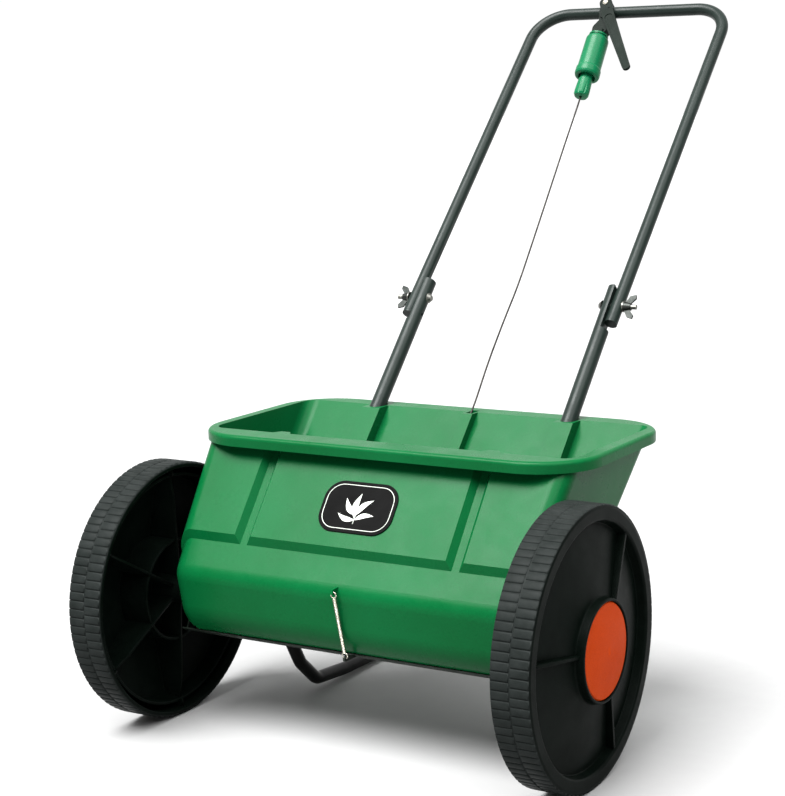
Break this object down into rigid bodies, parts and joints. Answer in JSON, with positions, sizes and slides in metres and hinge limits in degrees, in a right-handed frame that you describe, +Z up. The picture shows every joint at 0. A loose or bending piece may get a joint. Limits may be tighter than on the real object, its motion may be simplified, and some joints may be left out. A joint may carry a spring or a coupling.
{
  "type": "drop spreader",
  "caption": "Walk-behind drop spreader for lawn feed: green trough hopper, two wheels, folding tube handle with a lever-worked shutter.",
  "frame": {"origin": "the middle of the footprint, on the ground under the wheels and the stand", "axes": "+X along the axle towards the driven wheel, +Y towards the user and the handle, +Z up"},
  "size_m": [0.603, 0.9144, 0.8364],
  "materials": {
    "hopper_plastic": "moulded green plastic, fine satin grain",
    "badge_plate": "black plate with a plain pale sprig",
    "tube_paint": "dark green-grey metallic powder coat",
    "stand_paint": "black paint",
    "black_plastic": "moulded",
    "grey_plastic": "moulded, fine grain",
    "adjuster_plastic": "moulded bright green",
    "fastener_steel": "zinc plated",
    "wing_nut_metal": "cast, grey",
    "bright_steel": "bright plated",
    "wire_steel": "stranded steel wire",
    "shutter_steel": "dark coated sheet",
    "axle_steel": "drawn bar",
    "bush_plastic": "acetal",
    "agitator_plastic": "moulded",
    "wheel_plastic": "moulded black, satin",
    "cap_plastic": "moulded orange"
  },
  "bodies": {
    "frame": {"hopper": "hopper_plastic", "badge": "badge_plate", "lower_tube_left": "tube_paint", "lower_tube_right": "tube_paint", "tube_plug_left": "black_plastic", "tube_plug_right": "black_plastic", "tube_screws": "fastener_steel", "tube_nuts": "fastener_steel", "joint_bolt_left": "fastener_steel", "joint_bolt_right": "fastener_steel", "joint_washer_left": "fastener_steel", "joint_washer_right": "fastener_steel", "control_wire": "wire_steel", "wire_clip": "black_plastic", "return_spring": "bright_steel", "stand": "stand_paint", "stand_screws": "fastener_steel", "axle_bush_left": "bush_plastic", "axle_bush_right": "bush_plastic"},
    "upper_handle": {"upper_handle": "tube_paint", "lever_bracket": "grey_plastic", "bracket_screw": "fastener_steel", "lever_pin": "bright_steel", "lever_wire": "wire_steel", "adjuster_core": "adjuster_plastic"},
    "lever": {"lever": "grey_plastic"},
    "adjuster_dial": {"adjuster_dial": "adjuster_plastic"},
    "adjuster_nut": {"adjuster_nut": "adjuster_plastic"},
    "wing_nut_left": {"wing_nut_left": "wing_nut_metal"},
    "wing_nut_right": {"wing_nut_right": "wing_nut_metal"},
    "shutter": {"shutter": "shutter_steel", "wire_sleeve": "fastener_steel"},
    "drive_axle": {"axle": "axle_steel", "agitator": "agitator_plastic", "agitator_pins": "axle_steel", "drive_pin": "axle_steel", "wheel_right": "wheel_plastic", "hub_cap_right": "cap_plastic", "axle_washer_left": "fastener_steel", "axle_washer_right": "fastener_steel", "axle_clip_left": "fastener_steel", "axle_clip_right": "fastener_steel"},
    "free_wheel": {"wheel_left": "wheel_plastic", "hub_cap_left": "cap_plastic"}
  },
  "joints": [
    {"name": "handle_fold", "type": "hinge", "parent": "frame", "child": "upper_handle", "pos_m": [0, 0.07434, 0.454], "axis": [1, 0, 0], "range_deg": [0, 150], "deforming": ["control_wire"]},
    {"name": "lever_pull", "type": "hinge", "parent": "upper_handle", "child": "lever", "pos_m": [-0.0383, 0.43937, 0.82765], "axis": [0, -0.8058, 0.5922], "range_deg": [0, 45], "stiffness_Nm_per_rad": 0.25, "springref_deg": -17.19, "deforming": ["lever_wire"]},
    {"name": "dial_turn", "type": "hinge", "parent": "upper_handle", "child": "adjuster_dial", "pos_m": [-0.041, 0.4198, 0.783], "axis": [0, -0.5922, -0.8058], "range_deg": [0, 300]},
    {"name": "nut_turn", "type": "hinge", "parent": "upper_handle", "child": "adjuster_nut", "pos_m": [-0.041, 0.3588, 0.7], "axis": [0, -0.5922, -0.8058], "continuous": true},
    {"name": "wing_nut_left_turn", "type": "hinge", "parent": "frame", "child": "wing_nut_left", "pos_m": [-0.15, 0.07434, 0.454], "axis": [-1, 0, 0], "continuous": true},
    {"name": "wing_nut_right_turn", "type": "hinge", "parent": "frame", "child": "wing_nut_right", "pos_m": [0.15, 0.07434, 0.454], "axis": [1, 0, 0], "continuous": true},
    {"name": "shutter_open", "type": "hinge", "parent": "frame", "child": "shutter", "pos_m": [0, -0.3072, 0.15], "axis": [1, 0, 0], "range_deg": [0, 12], "stiffness_Nm_per_rad": 2, "springref_deg": -5.73, "deforming": ["return_spring", "control_wire"]},
    {"name": "axle_turn", "type": "hinge", "parent": "frame", "child": "drive_axle", "pos_m": [0, -0.3072, 0.15], "axis": [1, 0, 0], "continuous": true},
    {"name": "left_wheel_turn", "type": "hinge", "parent": "drive_axle", "child": "free_wheel", "pos_m": [-0.26, -0.3072, 0.15], "axis": [1, 0, 0], "continuous": true}
  ],
  "couplings": [
    {"joint": "shutter_open", "follows": "lever_pull", "ratio": 0.2666}
  ]
}
